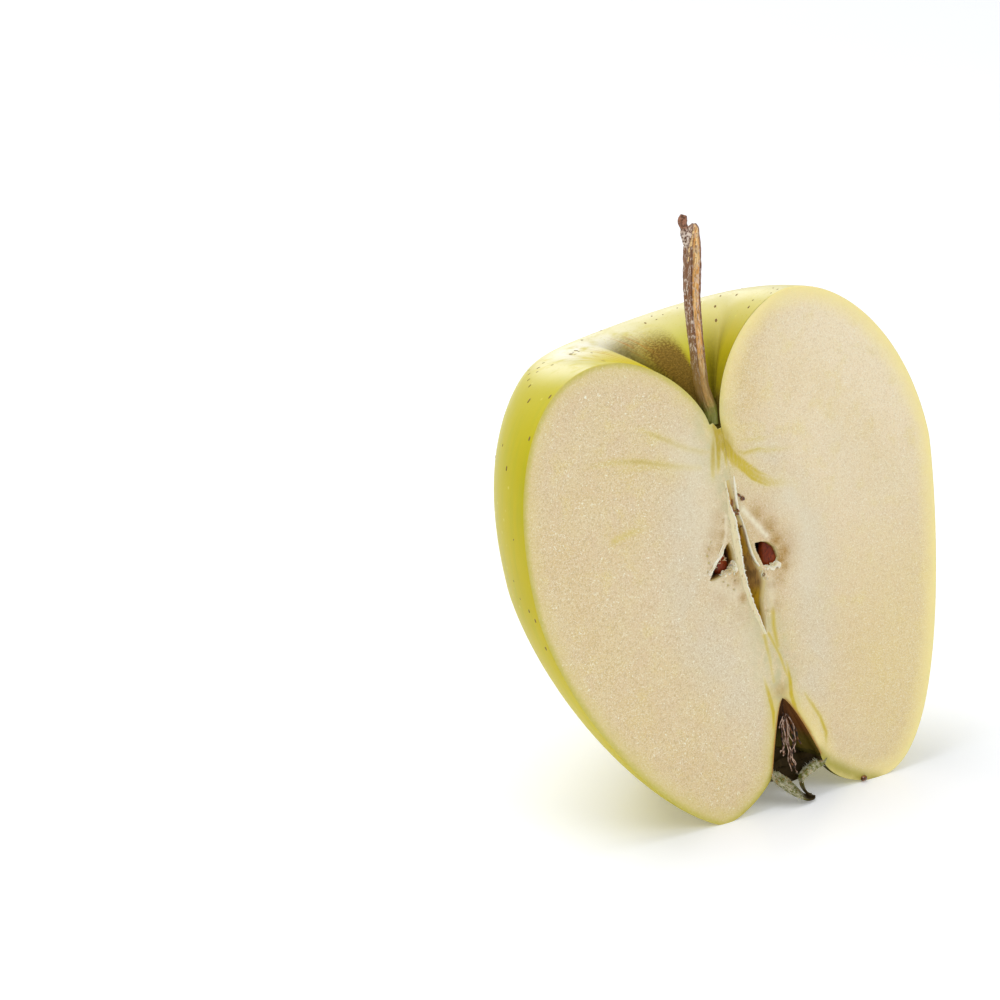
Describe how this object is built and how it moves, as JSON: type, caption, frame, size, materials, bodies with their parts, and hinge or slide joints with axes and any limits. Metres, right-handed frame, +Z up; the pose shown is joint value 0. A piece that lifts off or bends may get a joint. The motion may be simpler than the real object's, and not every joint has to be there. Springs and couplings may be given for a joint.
{
  "type": "cut apple half",
  "caption": "Half of an apple cut from stem to eye, leaning back on its base lobes, with seeds, open core, dried sepals and its stem.",
  "frame": {"origin": "under the middle of the half's bounding box, on the surface it stands on", "axes": "+Z up, the stem's end highest; +X to the right along the foot of the cut face, which looks to -Y and leans back towards +Y"},
  "size_m": [0.0782, 0.047, 0.0912],
  "materials": {
    "flesh": "moist cream flesh inside a smooth yellow-green skin",
    "stem": "dry brown bark with lengthwise ribs",
    "seed": "smooth glossy seed coat",
    "sepal": "dry, downy, curled",
    "stamen": "dry and thready"
  },
  "bodies": {
    "root": {"flesh": "flesh", "stem": "stem", "seed_left": "seed", "seed_right": "seed", "sepals": "sepal", "stamens": "stamen"}
  },
  "joints": []
}
